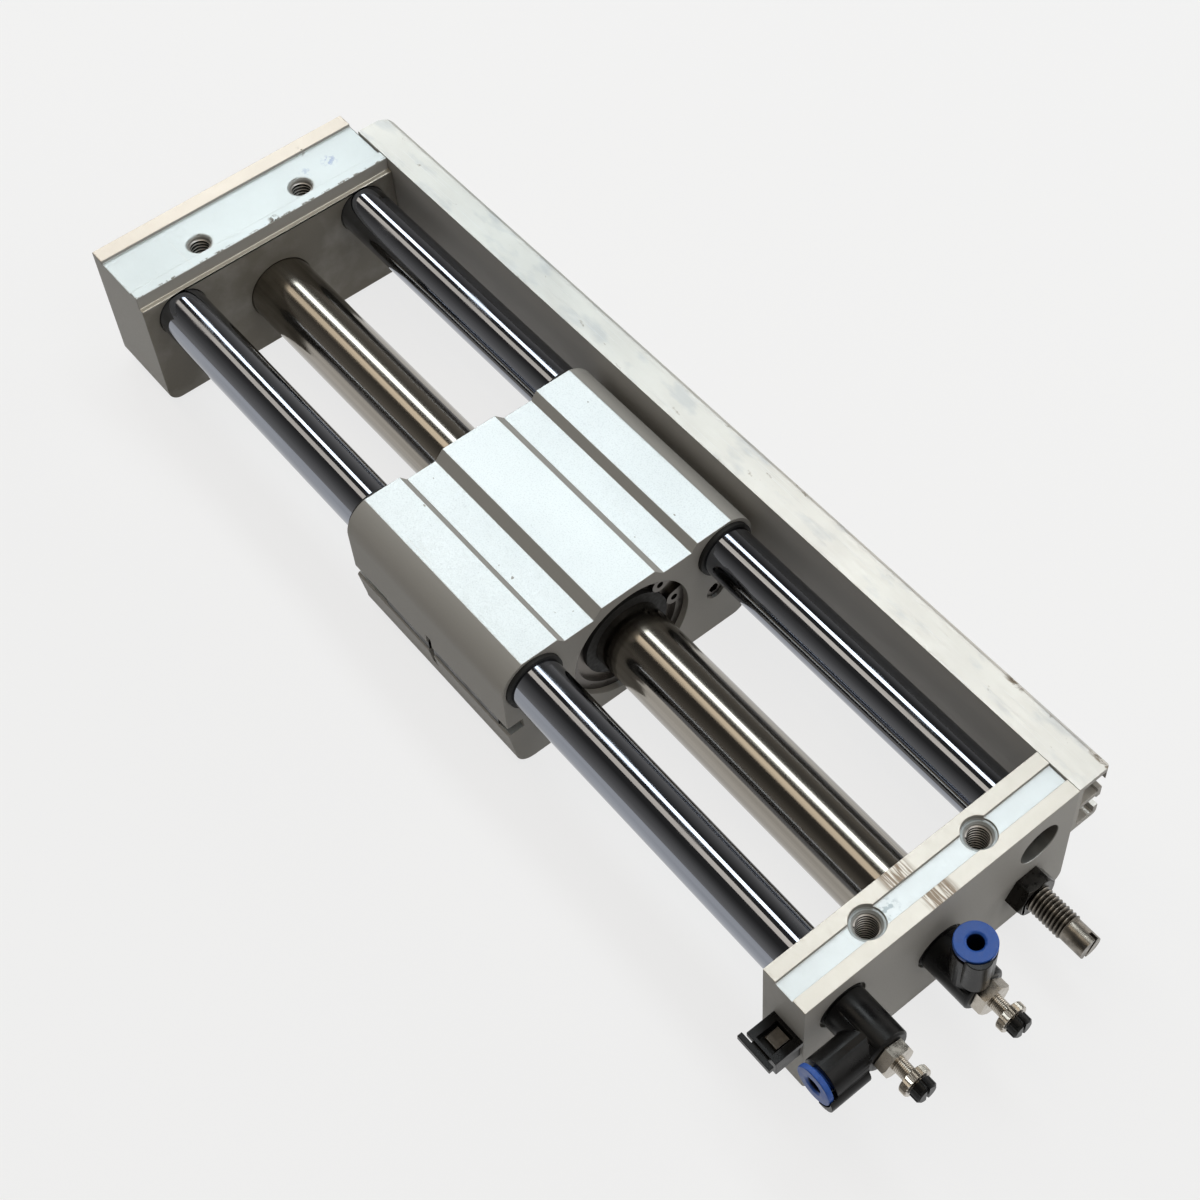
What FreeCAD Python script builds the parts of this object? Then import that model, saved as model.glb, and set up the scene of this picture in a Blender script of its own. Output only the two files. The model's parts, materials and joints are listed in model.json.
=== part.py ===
import FreeCAD, Part
import math
import os

V = FreeCAD.Vector

# Rodless air cylinder with two guide rods, millimetres.
# X runs from the plain plate to the port plate, Y towards the switch rail, Z up.
# Heights are measured down from the plates' mounting face. The saved pieces are lifted so that
# the origin is the centre of the four mounting threads, just under the threads' mouths.

# Mounting holes and plates
hole_span_x = 298.0
hole_span_y = 37.0
tap_r = 3.4
thread_r = 4.0
tap_depth = 20.0
counterbore_r = 4.75
counterbore_depth = 0.6
datum_drop = 4.0
plate_w = 91.0
plate_h = 45.6
plate_corner_r = 4.0
near_thick = 15.0
near_hole_inset = 7.0
far_thick = 27.6
far_hole_inset = 17.6
far_step = 1.8
far_step_drop = 4.4
band_depth = 1.0
near_strip_in = 4.4
near_strip_out = 4.5
far_strip_out = 5.4
far_strip_in = 3.8

# Guide rods and cylinder tube
rod_r = 8.0
rod_bore_r = 3.0
rod_edge = 12.4
rod_drop = 12.6
rod_seat_near = 6.5
rod_seat_far = 20.0
tube_r = 10.8
tube_wall = 0.8
tube_drop = 25.2
tube_seat_near = 6.5
tube_seat_far = 14.0
gasket_thick = 1.2
gasket_lip = 0.6
seat_fit = 0.02
run_fit = 0.03
turn_fit = 0.05
free_gap = 0.35

# Slide block
block_len = 72.0
block_mid_x = -0.6
block_side_gap = 2.2
land_mid_half = 9.2
land_mid_drop = 2.3
land_out_drop = 2.8
valley_drop = 5.4
valley_in = 12.0
valley_out = 21.9
land_out_start = 24.0
block_bottom = 48.0
slot_top = 27.2
slot_tall = 3.6
slot_deep = 5.2
slot_chamfer = 0.6
foot_taper = 1.5
foot_break = 42.0
foot_r = 5.6
strip_inset = 0.4
strip_far_gap = 15.0
strip_near_gap = 5.0
switch_magnet_len = 18.0
notch_w = 2.2
notch_top = 23.4
notch_bottom = 37.2
core_bore_r = 20.0
bush_wall = 1.0
bush_len = 22.0
scraper_len = 4.3
scraper_proud = 1.2
payload_span_x = 50.0
payload_shift = 2.1
payload_tap_r = 2.5
payload_depth = 12.0

# Magnet stacks
yoke_thick = 4.0
magnet_count = 4
magnet_step = 0.4
stack_end_gap = 0.05
collar_len = 6.0
clip_inset = 2.2
clip_thick = 1.75
clip_groove_deep = 1.25
clip_width = 3.8
clip_side_gap = 0.15
clip_gap_deg = 10.0
clip_turn_deg = 25.0
lug_r = 2.6
lug_hole_r = 1.1
lug_hang = 0.6
collar_lip = 1.0
wear_wall = 1.6
tube_scraper_wall = 3.4
tube_scraper_thick = 1.6

# Piston
shaft_r = 3.0
piston_len = 14.0
piston_side_gap = 0.3
shaft_cover = 4.0
groove_edge = 1.5
seal_w = 3.0
seal_depth = 1.6
wear_w = 5.0
wear_depth = 1.2
bumper_r = 6.0
bumper_len = 3.0

# Switch rail
rail_w = 11.4
rail_h = 21.4
rail_wall = 1.8
rail_far_inset = 10.0
rail_near_inset = 0.2
rail_lip = 1.5
rail_top_lip = 5.2
rail_shelf = 9.6
rail_shelf_wall = 1.6
rail_shelf_reach = 9.4
rail_shelf_lip = 1.2
rail_foot_lip = 2.2
rail_corner_far = 5.0
rail_corner_near = 2.0
rail_screw_r = 1.5
rail_screw_head_r = 2.7
rail_screw_head = 1.6
rail_screw_len = 5.5
rail_screw_pair = 10.0
rail_screw_step = 0.4

# Shock absorber
stop_shift = 3.1
stop_drop = 30.1
stop_r = 4.0
stop_pitch = 1.4
stop_thread_deep = 0.45
stop_len = 39.2
stop_out = 23.4
stop_tip_r = 3.55
stop_tip_len = 7.4
stop_edge = 0.5
stop_slot_w = 1.3
stop_slot_deep = 2.2
stop_slot_deg = 61.5
stop_rod_r = 1.4
stop_stroke = 6.0
stop_bottom_gap = 1.0
stop_nut_af = 12.0
stop_nut_thick = 5.0
nut_bevel = 0.8
pad_r = 3.2
pad_depth = 7.0
pad_inset = 1.0
pad_socket_af = 3.0

# Flow controllers
port_r = 4.3
port_spot_r = 7.3
port_spot_deep = 1.2
stem_seal_r = 6.6
stem_seal_thick = 1.0
stem_inset = 0.3
needle_inset = 2.0
core_r = 3.4
elbow_r = 6.5
elbow_len = 15.5
elbow_stand = 0.3
elbow_edge = 0.6
branch_x = 10.5
branch_r = 5.75
branch_len = 16.4
branch_bore_r = 3.5
branch_bore_deep = 9.0
lobe_r = 3.7
lobe_out = 3.2
lobe_side = 2.2
lobe_start = 6.6
ring_r = 5.65
ring_thick = 1.6
ring_stand = 1.0
ring_sleeve_r = 3.45
ring_sleeve_len = 8.0
ring_hole_r = 2.1
ring_mouth = 0.6
bonnet_af = 9.0
bonnet_len = 3.3
bonnet_edge = 0.5
bonnet_turn_left = -12.0
bonnet_turn_right = 13.0
spindle_r = 1.9
lock_r = 4.3
lock_thick = 2.4
lock_edge = 0.3
lock_stand = 4.2
lock_teeth = 26
lock_tooth = 0.35
knob_r = 3.2
knob_len = 3.0
knob_gap = 0.3
knob_edge = 0.6
knob_web = 0.8
knob_flutes = 8
knob_flute_r = 0.55
knob_flute_out = 0.2
knob_slot_w = 0.9
knob_slot_deep = 0.9

# Rod fixings
set_screw_r = 2.1
set_screw_len = 7.0
set_socket_af = 2.5
end_screw_r = 2.5
end_screw_len = 18.0
end_head_r = 5.0
end_head = 3.4
end_head_inset = 3.0
end_pocket_r = 6.5
end_socket_af = 4.0
end_socket_deg = 30.0
end_thread_gap = 2.0

# Side clip
clip_block_x = 10.7
clip_block_y = 8.7
clip_block_z = 9.0
clip_block_drop = 16.1
clip_edge_inset = 0.1
clip_frame = 1.9
clip_body_inset = 0.9
clip_window_x = 5.8
clip_window_y = 6.6
clip_window_deep = 2.6
insert_size = 4.3
insert_thick = 1.2
insert_wall_gap = 0.4
clip_lip_y = 1.5
clip_lip_z = 1.9
clip_lip_gap = 0.6
clip_lip_drop = 0.4
clip_lip_over = 1.0
clip_neck = 6.0

# Positions worked out from the sizes above
near_in = hole_span_x / 2 - near_hole_inset
near_out = near_in + near_thick
far_out = -hole_span_x / 2 - far_hole_inset
far_in = far_out + far_thick
rod_y = plate_w / 2 - rod_edge
rod_z = -rod_drop
tube_z = -tube_drop
tube_bore_r = tube_r - tube_wall
block_x0 = block_mid_x - block_len / 2
block_x1 = block_mid_x + block_len / 2
bush_r = rod_r + bush_wall
block_half_w = plate_w / 2 - block_side_gap
block_corner_r = block_half_w - rod_y
foot_half_w = block_half_w - foot_taper
payload_span_y = 2 * (rod_y - payload_shift)
stop_y = rod_y - stop_shift


def rod_along(axis, a, b, p, q, r):
    """Cylinder from a to b along an axis; p and q are the two other coordinates in order."""
    if axis == "x":
        return Part.makeCylinder(r, b - a, V(a, p, q), V(1, 0, 0))
    if axis == "y":
        return Part.makeCylinder(r, b - a, V(p, a, q), V(0, 1, 0))
    return Part.makeCylinder(r, b - a, V(p, q, a), V(0, 0, 1))


def ring_x(a, b, y, z, r_out, r_in):
    """Plain ring from a to b along X."""
    return rod_along("x", a, b, y, z, r_out).cut(rod_along("x", a - 1, b + 1, y, z, r_in))


def box(x0, x1, y0, y1, z0, z1):
    return Part.makeBox(x1 - x0, y1 - y0, z1 - z0, V(x0, y0, z0))


def polygon_x(points, a, b):
    """Prism along X from a to b with a closed outline of (y, z) points."""
    wire = Part.makePolygon([V(a, y, z) for y, z in points + points[:1]])
    return Part.Face(wire).extrude(V(b - a, 0, 0))


def hex_x(a, b, y, z, across_flats, turn=0.0):
    """Hexagonal prism along X."""
    r = across_flats / math.sqrt(3)
    corners = [math.radians(60 * k + turn) for k in range(6)]
    return polygon_x([(y + r * math.cos(t), z + r * math.sin(t)) for t in corners], a, b)


def turned(points, y, z):
    """Solid of revolution about an X line, from (x, radius) points that end on the axis."""
    wire = Part.makePolygon([V(x, y + r, z) for x, r in points + points[:1]])
    return Part.Face(wire).revolve(V(0, y, z), V(1, 0, 0), 360)


def path_face(start, steps, x):
    """Face in the plane X = x; a step is (y, z) for a line or (y, z, y, z) for an arc through."""
    edges = []
    here = start
    for step in steps:
        end = step[-2:]
        if len(step) == 2:
            edges.append(Part.makeLine(V(x, *here), V(x, *end)))
        else:
            edges.append(Part.Arc(V(x, *here), V(x, *step[:2]), V(x, *end)).toShape())
        here = end
    return Part.Face(Part.Wire(edges))


def mirror_steps(start, steps):
    """Adds the left half to a right-half outline that starts and ends on the centre line."""
    nodes = [start] + [s[-2:] for s in steps]
    back = []
    for k in range(len(steps) - 1, -1, -1):
        y, z = nodes[k]
        if len(steps[k]) == 2:
            back.append((-y, z))
        else:
            ym, zm = steps[k][:2]
            back.append((-ym, zm, -y, z))
    return steps + back


def corner_point(cy, cz, r, deg):
    return (cy + r * math.cos(math.radians(deg)), cz + r * math.sin(math.radians(deg)))


def save(name, *solids):
    """Writes one node, with the origin moved to the threads' plane."""
    shape = solids[0] if len(solids) == 1 else Part.makeCompound(list(solids))
    shape.translated(V(0, 0, datum_drop)).exportStep("parts/" + name + ".step")


os.makedirs("parts", exist_ok=True)


# End plates: milled aluminium blocks with a lowered band across the mounting face
def plate_blank(x0, x1):
    h, w, r = plate_h, plate_w / 2, plate_corner_r
    k = r * (1 - math.sqrt(0.5))
    half = [(w, 0), (w, -h + r), (w - k, -h + k, w - r, -h), (0, -h)]
    return path_face((0, 0), mirror_steps((0, 0), half), x0).extrude(V(x1 - x0, 0, 0))


def rail_screw_places():
    low = -(rail_shelf + rail_h - rail_wall + rail_shelf_wall) / 2
    far_x = (max(far_out + rail_far_inset, far_out) + far_in) / 2
    near_x = (near_in + near_out) / 2
    apart = rail_screw_pair / 2
    return [(far_x - apart, low), (far_x + apart, low), (near_x, low)]


def set_screw_places():
    far_x = far_in - rod_seat_far / 2
    return [(far_x, -rod_y), (far_x, rod_y), (near_in + rod_seat_near / 2, -rod_y)]


def plate_holes(plate, hole_x, bored):
    top = -band_depth - (counterbore_depth if bored else 0)
    mouth = thread_r - tap_r
    for y in (-hole_span_y / 2, hole_span_y / 2):
        plate = plate.cut(rod_along("z", top - tap_depth, 1, hole_x, y, tap_r))
        plate = plate.cut(Part.makeCone(tap_r, thread_r, mouth, V(hole_x, y, top - mouth), V(0, 0, 1)))
        if bored:
            plate = plate.cut(rod_along("z", top, 1, hole_x, y, counterbore_r))
    for x, z in rail_screw_places():
        tip = plate_w / 2 + rail_wall - rail_screw_len
        plate = plate.cut(rod_along("y", tip, plate_w, x, z, rail_screw_r))
    for x, y in set_screw_places():
        plate = plate.cut(rod_along("z", -plate_h - 1, rod_z, x, y, set_screw_r + seat_fit))
    return plate


near = plate_blank(near_in, near_out)
near = near.cut(box(near_in + near_strip_in, near_out - near_strip_out, -plate_w, plate_w, -band_depth, 1))
near = plate_holes(near, hole_span_x / 2, True)
for y in (-rod_y, rod_y):
    near = near.cut(rod_along("x", near_in - 1, near_in + rod_seat_near, y, rod_z, rod_r + seat_fit))
tube_floor = near_in + tube_seat_near + gasket_thick
near = near.cut(rod_along("x", near_in - 1, tube_floor, 0, tube_z, tube_r + seat_fit))
for y, z in ((-rod_y, rod_z), (0, tube_z)):
    near = near.cut(rod_along("x", near_in, near_out + 1, y, z, port_r))
    near = near.cut(rod_along("x", near_out - port_spot_deep, near_out + 1, y, z, port_spot_r))
end_pocket = end_head + end_head_inset
near = near.cut(rod_along("x", near_out - end_pocket, near_out + 1, rod_y, rod_z, end_pocket_r))
near = near.cut(rod_along("x", near_in, near_out, rod_y, rod_z, end_screw_r + free_gap))
near = near.cut(rod_along("x", near_in - 1, near_out + 1, stop_y, -stop_drop, stop_r + seat_fit))
save("near_end_plate", near)

far = plate_blank(far_out, far_in)
far = far.cut(box(far_in - far_step, far_in + 1, -plate_w, plate_w, -far_step_drop, 1))
far_band_end = far_in - far_step - far_strip_in
far = far.cut(box(far_out + far_strip_out, far_band_end, -plate_w, plate_w, -band_depth, 1))
far = plate_holes(far, -hole_span_x / 2, False)
for y in (-rod_y, rod_y):
    far = far.cut(rod_along("x", far_in - rod_seat_far, far_in + 1, y, rod_z, rod_r + seat_fit))
chamber_x = far_in - tube_seat_far - gasket_thick
far = far.cut(rod_along("x", chamber_x, far_in + 1, 0, tube_z, tube_r + seat_fit))
# Air passage inside the plain plate, from the hollow rod's end to the tube
passage_x = far_in - rod_seat_far - rod_bore_r
far = far.cut(rod_along("x", passage_x - rod_bore_r, far_in - rod_seat_far + 1, -rod_y, rod_z, rod_bore_r))
far = far.cut(rod_along("x", passage_x - rod_bore_r, chamber_x + 1, 0, tube_z, rod_bore_r))
bend = V(passage_x, -rod_y, rod_z)
reach = V(passage_x, 0, tube_z).sub(bend)
far = far.cut(Part.makeCylinder(rod_bore_r * 0.8, reach.Length, bend, reach))
save("far_end_plate", far)

# Guide rods: ground steel; the left one is hollow and carries air to the plain plate
rod_x0 = far_in - rod_seat_far
rod_x1 = near_in + rod_seat_near
left_rod = ring_x(rod_x0, rod_x1, -rod_y, rod_z, rod_r, rod_bore_r)
right_rod = rod_along("x", rod_x0, rod_x1, rod_y, rod_z, rod_r)
tapped = rod_along("x", rod_x1 - end_screw_len, rod_x1 + 1, rod_y, rod_z, end_screw_r + seat_fit)
right_rod = right_rod.cut(tapped)
save("guide_rod_left", left_rod)
save("guide_rod_right", right_rod)

# Cylinder tube with a flat gasket under each end
tube_x0 = far_in - tube_seat_far
tube_x1 = near_in + tube_seat_near
save("cylinder_tube", ring_x(tube_x0, tube_x1, 0, tube_z, tube_r, tube_bore_r))
save("tube_gaskets",
     ring_x(tube_x0 - gasket_thick, tube_x0, 0, tube_z, tube_r, tube_bore_r - gasket_lip),
     ring_x(tube_x1, tube_x1 + gasket_thick, 0, tube_z, tube_r, tube_bore_r - gasket_lip))

# Set screws that hold the rods from below, and the cap screw in the solid rod's end
grubs = []
for x, y in set_screw_places():
    top = rod_z - rod_r - seat_fit
    grub = rod_along("z", top - set_screw_len, top, x, y, set_screw_r)
    socket = hex_x(0, set_screw_len / 2, 0, 0, set_socket_af)
    socket.rotate(V(0, 0, 0), V(0, 1, 0), -90)
    socket.translate(V(x, y, top - set_screw_len))
    grubs.append(grub.cut(socket))
save("rod_set_screws", *grubs)
head_x1 = near_out - end_head_inset
head_x0 = head_x1 - end_head
cap = rod_along("x", head_x0, head_x1, rod_y, rod_z, end_head_r)
shank_x0 = rod_x1 - end_screw_len + end_thread_gap
cap = cap.fuse(rod_along("x", shank_x0, head_x1 - end_head / 2, rod_y, rod_z, end_screw_r))
cap = cap.cut(hex_x(head_x1 - end_head * 0.6, head_x1 + 1, rod_y, rod_z, end_socket_af, end_socket_deg))
save("rod_end_screw", cap)

# Slide block: one extruded profile with five lands on top, bored for rods and coupling
land_edge = rod_y + math.sqrt(block_corner_r ** 2 - (rod_drop - land_out_drop) ** 2)
corner_end = (rod_y + block_corner_r, rod_z)
rise = math.degrees(math.atan2(rod_drop - land_out_drop, land_edge - rod_y))
corner_mid = corner_point(rod_y, rod_z, block_corner_r, rise / 2)
slot_in = block_half_w - slot_deep
slot_low = slot_top + slot_tall
foot_mid = corner_point(foot_half_w - foot_r, -block_bottom + foot_r, foot_r, -45)
half = [
    (land_mid_half, -land_mid_drop),
    (valley_in, -valley_drop),
    (valley_out, -valley_drop),
    (land_out_start, -land_out_drop),
    (land_edge, -land_out_drop),
    corner_mid + corner_end,
    (block_half_w, -slot_top),
    (slot_in, -slot_top),
    (slot_in, -slot_low),
    (block_half_w - slot_chamfer, -slot_low),
    (block_half_w, -slot_low - slot_chamfer),
    (foot_half_w, -foot_break),
    foot_mid + (foot_half_w - foot_r, -block_bottom),
    (0, -block_bottom),
]
top = (0, -land_mid_drop)
block = path_face(top, mirror_steps(top, half), block_x0).extrude(V(block_len, 0, 0))
block = block.cut(rod_along("x", block_x0 - 1, block_x1 + 1, 0, tube_z, core_bore_r))
for y in (-rod_y, rod_y):
    block = block.cut(rod_along("x", block_x0 - 1, block_x1 + 1, y, rod_z, bush_r))
groove_r = core_bore_r + clip_groove_deep
for x in (block_x0 + clip_inset, block_x1 - clip_inset - clip_thick):
    block = block.cut(rod_along("x", x, x + clip_thick, 0, tube_z, groove_r))
for x in (-payload_span_x / 2, payload_span_x / 2):
    for y in (-payload_span_y / 2, payload_span_y / 2):
        low = -block_bottom
        block = block.cut(rod_along("z", low - 1, low + payload_depth, block_mid_x + x, y, payload_tap_r))
block = block.cut(box(block_mid_x - notch_w / 2, block_mid_x + notch_w / 2,
                      -plate_w, -slot_in + 1, -notch_bottom, -notch_top))
block = block.cut(rod_along("x", block_x1 - pad_depth, block_x1 + 1, stop_y, -stop_drop, pad_r + seat_fit))
save("slide_block", block)

# Dry bushes and black scrapers on the guide rods, one of each at both ends
bushes = []
scrapers = []
for y in (-rod_y, rod_y):
    for a, sign in ((block_x0, 1), (block_x1, -1)):
        s0 = a - sign * scraper_proud
        s1 = s0 + sign * scraper_len
        b1 = s1 + sign * bush_len
        scrapers.append(ring_x(min(s0, s1), max(s0, s1), y, rod_z, bush_r, rod_r + run_fit))
        bushes.append(ring_x(min(s1, b1), max(s1, b1), y, rod_z, bush_r, rod_r + run_fit))
save("guide_bushes", *bushes)
save("rod_scrapers", *scrapers)

# Outer half of the magnetic coupling: rings stacked between two collars and two clips
stack_len = block_len - 2 * (clip_inset + clip_thick + collar_len + stack_end_gap)
magnet_thick = (stack_len - (magnet_count + 1) * yoke_thick) / magnet_count
stack_x0 = block_mid_x - stack_len / 2


def stack(r_out_yoke, r_out_magnet, r_in):
    """Ring magnets between pole rings, all on the tube's axis."""
    yokes = []
    magnets = []
    x = stack_x0
    for k in range(magnet_count + 1):
        yokes.append(ring_x(x, x + yoke_thick, 0, tube_z, r_out_yoke, r_in))
        x += yoke_thick
        if k < magnet_count:
            magnets.append(ring_x(x, x + magnet_thick, 0, tube_z, r_out_magnet, r_in))
            x += magnet_thick
    return yokes, magnets


outer_yokes, outer_magnets = stack(core_bore_r - seat_fit, core_bore_r - magnet_step, tube_r + free_gap)
save("outer_yokes", *outer_yokes)
save("outer_magnets", *outer_magnets)


def snap_ring(x):
    """Internal snap ring with a gap and two eyed lugs."""
    ring = ring_x(x, x + clip_thick, 0, 0, groove_r - clip_side_gap, groove_r - clip_side_gap - clip_width)
    far_r = groove_r + 2
    edge = [corner_point(0, 0, far_r * 2, s * clip_gap_deg) for s in (-1, 1)]
    ring = ring.cut(polygon_x([(0, 0)] + edge, x - 1, x + clip_thick + 1))
    mid_r = groove_r - clip_width - lug_hang
    lug_deg = clip_gap_deg + math.degrees(lug_r / mid_r)
    for s in (-1, 1):
        y, z = corner_point(0, 0, mid_r, s * lug_deg)
        ring = ring.fuse(rod_along("x", x, x + clip_thick, y, z, lug_r))
        ring = ring.cut(rod_along("x", x - 1, x + clip_thick + 1, y, z, lug_hole_r))
    ring = ring.removeSplitter()
    ring.rotate(V(x, 0, 0), V(1, 0, 0), clip_turn_deg)
    ring.translate(V(0, 0, tube_z))
    return ring


save("retaining_rings", snap_ring(block_x0 + clip_inset), snap_ring(block_x1 - clip_inset - clip_thick))
collars = []
wear_rings = []
wipers = []
wear_r = tube_r + wear_wall
for a, b, sign in ((block_x0, stack_x0, 1), (block_x1, stack_x0 + stack_len, -1)):
    c0 = a + sign * (clip_inset + clip_thick)
    c1 = b - sign * stack_end_gap
    lip = c0 + sign * collar_lip
    ring = ring_x(min(c0, c1), max(c0, c1), 0, tube_z, core_bore_r - seat_fit, wear_r)
    ring = ring.fuse(ring_x(min(c0, lip), max(c0, lip), 0, tube_z, core_bore_r - seat_fit, tube_r + free_gap))
    collars.append(ring.removeSplitter())
    wear_rings.append(ring_x(min(lip, c1), max(lip, c1), 0, tube_z, wear_r, tube_r + run_fit))
    w1 = c0 - sign * tube_scraper_thick
    wipers.append(ring_x(min(c0, w1), max(c0, w1), 0, tube_z, tube_r + tube_scraper_wall, tube_r + run_fit))
save("end_collars", *collars)
save("tube_wear_rings", *wear_rings)
save("tube_scrapers", *wipers)

# Stop pad for the absorber, slot cover on the plain side, switch magnet on the rail side
pad_face = block_x1 - pad_inset
pad = rod_along("x", block_x1 - pad_depth, pad_face, stop_y, -stop_drop, pad_r)
save("stop_pad", pad.cut(hex_x(pad_face - 2, pad_face + 1, stop_y, -stop_drop, pad_socket_af)))
strip_face = block_half_w - strip_inset
strip = box(block_x0 + strip_far_gap, block_x1 - strip_near_gap, -strip_face, -slot_in, -slot_low, -slot_top)
notch_x0 = block_mid_x - notch_w / 2
strip = strip.cut(box(notch_x0, notch_x0 + notch_w, -plate_w, 0, -slot_low - 1, -slot_top + 1))
save("slot_strip", *strip.Solids)
magnet_x0 = block_mid_x - switch_magnet_len / 2
magnet_x1 = magnet_x0 + switch_magnet_len
save("switch_magnet", box(magnet_x0, magnet_x1, slot_in, strip_face, -slot_low, -slot_top))

# Piston: shaft, inner magnet stack, and a sealed piston with a bumper at each end
inner_r = tube_bore_r - free_gap
inner_yokes, inner_magnets = stack(inner_r, inner_r - magnet_step, shaft_r + seat_fit)
save("inner_yokes", *inner_yokes)
save("inner_magnets", *inner_magnets)
piston_r = tube_bore_r - piston_side_gap
shaft_over = stack_len / 2 + piston_len - shaft_cover
save("piston_shaft", rod_along("x", block_mid_x - shaft_over, block_mid_x + shaft_over, 0, tube_z, shaft_r))
pistons = []
seals = []
wears = []
bumpers = []


def piston_span(sign, d0, d1):
    """Sorted X limits of a stretch measured outward from one end of the magnet stack."""
    ends = [block_mid_x + sign * (stack_len / 2 + d) for d in (d0, d1)]
    return sorted(ends)


for sign in (-1, 1):
    body = rod_along("x", *piston_span(sign, 0, piston_len), 0, tube_z, piston_r)
    shaft_at = piston_span(sign, -1, piston_len - shaft_cover)
    shaft_hole = rod_along("x", *shaft_at, 0, tube_z, shaft_r + seat_fit)
    seal_at = piston_span(sign, piston_len - groove_edge - seal_w, piston_len - groove_edge)
    wear_at = piston_span(sign, groove_edge, groove_edge + wear_w)
    body = body.cut(shaft_hole)
    body = body.cut(ring_x(*seal_at, 0, tube_z, piston_r + 1, piston_r - seal_depth))
    body = body.cut(ring_x(*wear_at, 0, tube_z, piston_r + 1, piston_r - wear_depth))
    pistons.append(body)
    seals.append(ring_x(*seal_at, 0, tube_z, tube_bore_r - run_fit, piston_r - seal_depth))
    wears.append(ring_x(*wear_at, 0, tube_z, tube_bore_r - run_fit, piston_r - wear_depth))
    bumper_at = piston_span(sign, piston_len, piston_len + bumper_len)
    bumpers.append(rod_along("x", *bumper_at, 0, tube_z, bumper_r))
save("pistons", *pistons)
save("piston_seals", *seals)
save("piston_wear_rings", *wears)
save("piston_bumpers", *bumpers)

# Switch rail: an extrusion with two outward slots, screwed to both plates
rail_y = plate_w / 2
rail_face = rail_y + rail_w
shelf_end = rail_y + rail_shelf_reach
shelf_low = rail_shelf + rail_shelf_wall
rail_path = [
    (rail_face - rail_lip, 0),
    (rail_face - rail_lip * 0.29, -rail_lip * 0.29, rail_face, -rail_lip),
    (rail_face, -rail_top_lip),
    (rail_face - rail_lip, -rail_top_lip),
    (rail_face - rail_lip, -rail_wall),
    (rail_y + rail_wall, -rail_wall),
    (rail_y + rail_wall, -rail_shelf),
    (shelf_end - rail_lip, -rail_shelf),
    (shelf_end - rail_lip, -rail_shelf + rail_shelf_lip),
    (shelf_end, -rail_shelf + rail_shelf_lip),
    (shelf_end, -shelf_low - rail_shelf_lip),
    (shelf_end - rail_lip, -shelf_low - rail_shelf_lip),
    (shelf_end - rail_lip, -shelf_low),
    (rail_y + rail_wall, -shelf_low),
    (rail_y + rail_wall, -rail_h + rail_wall),
    (shelf_end - rail_lip, -rail_h + rail_wall),
    (shelf_end - rail_lip, -rail_h + rail_wall + rail_foot_lip),
    (shelf_end, -rail_h + rail_wall + rail_foot_lip),
    (shelf_end, -rail_h + rail_lip),
    (shelf_end - rail_lip * 0.29, -rail_h + rail_lip * 0.29, shelf_end - rail_lip, -rail_h),
    (rail_y, -rail_h),
    (rail_y, 0),
]
rail_x0 = far_out + rail_far_inset
rail_x1 = near_out - rail_near_inset
rail = path_face((rail_y, 0), rail_path, rail_x0).extrude(V(rail_x1 - rail_x0, 0, 0))


def rail_plan():
    """Plan outline of the rail with both outer corners rounded."""
    n, f, z = rail_corner_near, rail_corner_far, -rail_h - 1
    q = 1 - math.sqrt(0.5)
    p = [V(rail_x0, rail_y - 1, z), V(rail_x1, rail_y - 1, z), V(rail_x1, rail_face - n, z),
         V(rail_x1 - n, rail_face, z), V(rail_x0 + f, rail_face, z), V(rail_x0, rail_face - f, z)]
    near_mid = V(rail_x1 - n * q, rail_face - n * q, z)
    far_mid = V(rail_x0 + f * q, rail_face - f * q, z)
    edges = [Part.makeLine(p[0], p[1]), Part.makeLine(p[1], p[2]), Part.Arc(p[2], near_mid, p[3]).toShape(),
             Part.makeLine(p[3], p[4]), Part.Arc(p[4], far_mid, p[5]).toShape(), Part.makeLine(p[5], p[0])]
    return Part.Face(Part.Wire(edges)).extrude(V(0, 0, rail_h + 2))


rail = rail.common(rail_plan())
for x, z in rail_screw_places():
    rail = rail.cut(rod_along("y", rail_y - 1, rail_y + rail_wall + 1, x, z, rail_screw_r + seat_fit))
save("switch_rail", rail)
screws = []
for x, z in rail_screw_places():
    y0 = rail_y + rail_wall
    shank = rod_along("y", y0 - rail_screw_len, y0 + rail_screw_step, x, z, rail_screw_r - seat_fit)
    head = rod_along("y", y0, y0 + rail_screw_head, x, z, rail_screw_head_r)
    head_y = y0 + rail_screw_head
    drive = rod_along("y", head_y - rail_screw_head * 0.6, head_y + 1, x, z, rail_screw_head_r * 0.45)
    screws.append(shank.fuse(head).cut(drive))
save("rail_screws", *screws)

# Shock absorber: threaded body with a slotted end, lock nut and a sprung rod facing the slide
stop_z = -stop_drop
stop_x1 = near_out + stop_out
stop_x0 = stop_x1 - stop_len
thread_start = near_out + stop_nut_thick
thread_end = stop_x1 - stop_tip_len
teeth = int((thread_end - thread_start) / stop_pitch)
profile = [(stop_x0, 0), (stop_x0, stop_r - stop_edge), (stop_x0 + stop_edge, stop_r), (thread_start, stop_r)]
for k in range(teeth):
    x = thread_start + k * stop_pitch
    profile += [(x + stop_pitch / 2, stop_r - stop_thread_deep), (x + stop_pitch, stop_r)]
profile += [(thread_end, stop_r), (thread_end, stop_tip_r), (stop_x1 - stop_edge, stop_tip_r)]
profile += [(stop_x1, stop_tip_r - stop_edge), (stop_x1, 0)]
stop = turned(profile, stop_y, stop_z)
stop_cavity = stop_x0 + 3 * stop_stroke
stop = stop.cut(rod_along("x", stop_x0 - 1, stop_cavity, stop_y, stop_z, stop_rod_r + turn_fit))
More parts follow.
